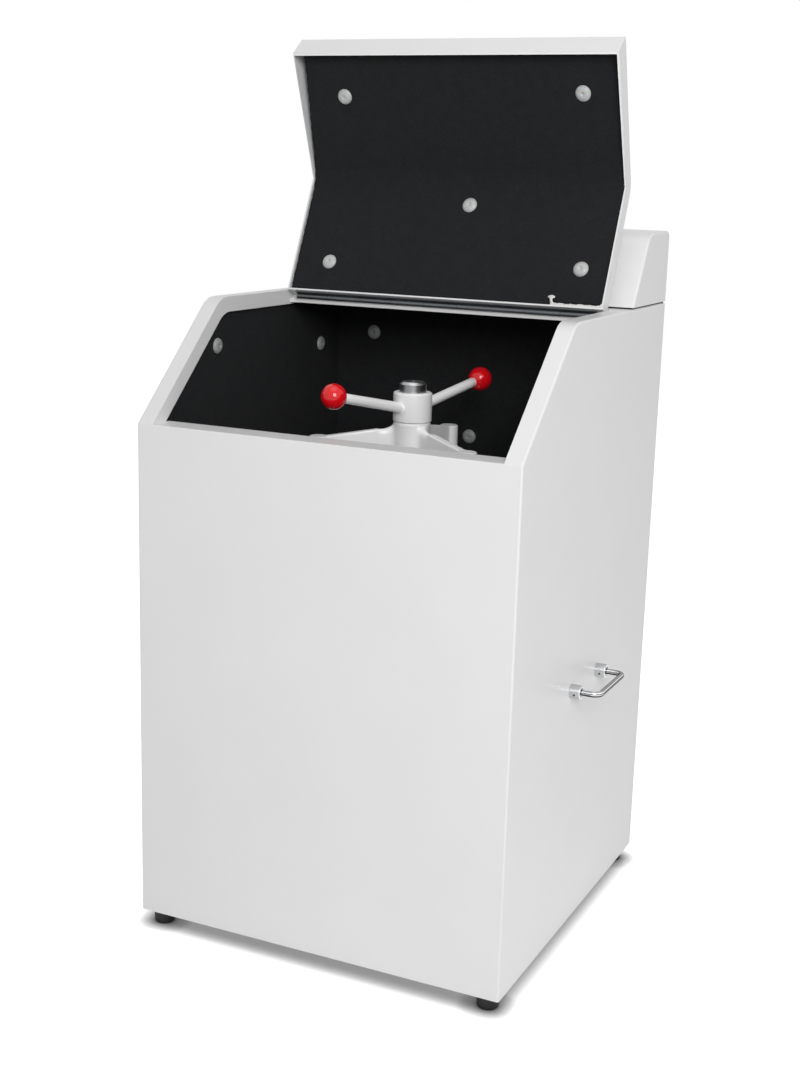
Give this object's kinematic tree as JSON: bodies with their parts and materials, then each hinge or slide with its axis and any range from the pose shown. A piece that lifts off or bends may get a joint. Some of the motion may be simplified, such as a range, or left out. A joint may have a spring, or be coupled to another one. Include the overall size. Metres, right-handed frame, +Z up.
{
  "type": "laboratory sample grinder",
  "caption": "Floor-standing sealed vibration grinder: foam-lined sheet-metal cabinet, bent hinged lid, and a screw press over grinding bowls on a sprung motor platform.",
  "frame": {"origin": "on the floor, under the middle of the bounding box; the screw post's axis is 14 mm in front of it", "axes": "+Z up, +Y from the sloped front towards the control housing, +X to the right seen from the front"},
  "size_m": [0.65, 0.592, 1.2671],
  "materials": {
    "cabinet_paint": "textured powder coat, off-white",
    "press_paint": "satin paint, light grey",
    "black_foam": "open-cell acoustic foam, matte",
    "pale_nylon": "natural nylon",
    "zinc_steel": "bright zinc plate",
    "black_paint": "black enamel",
    "cast_platform": "machined casting, grey",
    "motor_paint": "blue-grey enamel on cast iron",
    "bearing_steel": "turned steel",
    "spring_steel": "oiled spring wire",
    "bowl_steel": "turned alloy steel",
    "polished_steel": "polished stainless steel",
    "red_knob": "glossy moulded plastic, red",
    "green_button": "glossy moulded plastic, green",
    "black_plastic": "moulded plastic, black",
    "lamp_lens": "clear moulded lens over white",
    "black_rubber": "moulded rubber, black"
  },
  "bodies": {
    "cabinet": {"cabinet_shell": "cabinet_paint", "base_plate": "zinc_steel", "rear_cover": "cabinet_paint", "cover_screws": "zinc_steel", "cable_gland": "black_plastic", "foot_front_left": "black_rubber", "foot_front_right": "black_rubber", "foot_rear_left": "black_rubber", "foot_rear_right": "black_rubber", "hinge_fixed_leaf": "zinc_steel", "hinge_pin": "zinc_steel", "foam_left": "black_foam", "foam_right": "black_foam", "foam_front": "black_foam", "foam_rear": "black_foam", "wall_foam_buttons": "pale_nylon", "control_housing": "cabinet_paint", "housing_gasket": "black_rubber", "timer_unit": "black_plastic", "power_lamp": "lamp_lens", "start_bezel": "black_plastic", "stop_bezel": "black_plastic", "handle_bar_left": "polished_steel", "handle_bar_right": "polished_steel", "handle_ferrules_left": "polished_steel", "handle_ferrules_right": "polished_steel", "spring_stand": "black_paint", "support_springs": "spring_steel"},
    "lid": {"lid_shell": "cabinet_paint", "lid_foam": "black_foam", "lid_foam_buttons": "pale_nylon", "hinge_moving_leaf": "zinc_steel"},
    "platform": {"vibrating_platform": "cast_platform", "clamp_post": "polished_steel", "grinding_bowl_1": "bowl_steel", "grinding_bowl_2": "bowl_steel", "grinding_bowl_3": "bowl_steel", "bowl_cover_1": "bowl_steel", "bowl_cover_2": "bowl_steel", "bowl_cover_3": "bowl_steel", "bowl_seals": "black_rubber", "grinding_rings": "bowl_steel", "grinding_pucks": "bowl_steel", "motor_housing": "motor_paint", "motor_end_shield": "motor_paint", "motor_bearings": "bearing_steel"},
    "rotor": {"motor_rotor": "bearing_steel", "eccentric_weight": "bearing_steel"},
    "spider": {"press_spider": "press_paint", "press_pads": "black_rubber"},
    "nut": {"clamp_nut": "press_paint", "clamp_lever_front": "press_paint", "clamp_lever_rear": "press_paint", "lever_knob_front": "red_knob", "lever_knob_rear": "red_knob"},
    "timer_knob": {"timer_knob": "black_plastic"},
    "start_button": {"start_button": "green_button"},
    "stop_button": {"stop_button": "red_knob"}
  },
  "joints": [
    {"name": "lid_hinge", "type": "hinge", "parent": "cabinet", "child": "lid", "pos_m": [0, 0.0745, 0.8898], "axis": [1, 0, 0], "range_deg": [0, 114.6]},
    {"name": "platform_bounce", "type": "slide", "parent": "cabinet", "child": "platform", "axis": [0, 0, 1], "range_m": [-0.004, 0.004], "stiffness_N_per_m": 240000, "springref_m": 0.00368, "deforming": ["support_springs"]},
    {"name": "rotor_spin", "type": "hinge", "parent": "platform", "child": "rotor", "pos_m": [0, -0.014, 0.322], "axis": [0, 0, 1], "continuous": true},
    {"name": "spider_lift", "type": "slide", "parent": "platform", "child": "spider", "axis": [0, 0, 1], "range_m": [0, 0.01201]},
    {"name": "nut_turn", "type": "hinge", "parent": "spider", "child": "nut", "pos_m": [0, -0.014, 0.7463], "axis": [0, 0, 1], "range_deg": [0, 720]},
    {"name": "timer_turn", "type": "hinge", "parent": "cabinet", "child": "timer_knob", "pos_m": [-0.11, 0.14352, 0.94289], "axis": [0, -0.8478, 0.5304], "range_deg": [-270, 0]},
    {"name": "start_press", "type": "slide", "parent": "cabinet", "child": "start_button", "axis": [0, 0.8478, -0.5304], "range_m": [0, 0.004], "stiffness_N_per_m": 400, "springref_m": -0.002},
    {"name": "stop_press", "type": "slide", "parent": "cabinet", "child": "stop_button", "axis": [0, 0.8478, -0.5304], "range_m": [0, 0.004], "stiffness_N_per_m": 400, "springref_m": -0.002}
  ],
  "couplings": [
    {"joint": "spider_lift", "follows": "nut_turn", "m_per_rad": 0.00095493}
  ]
}
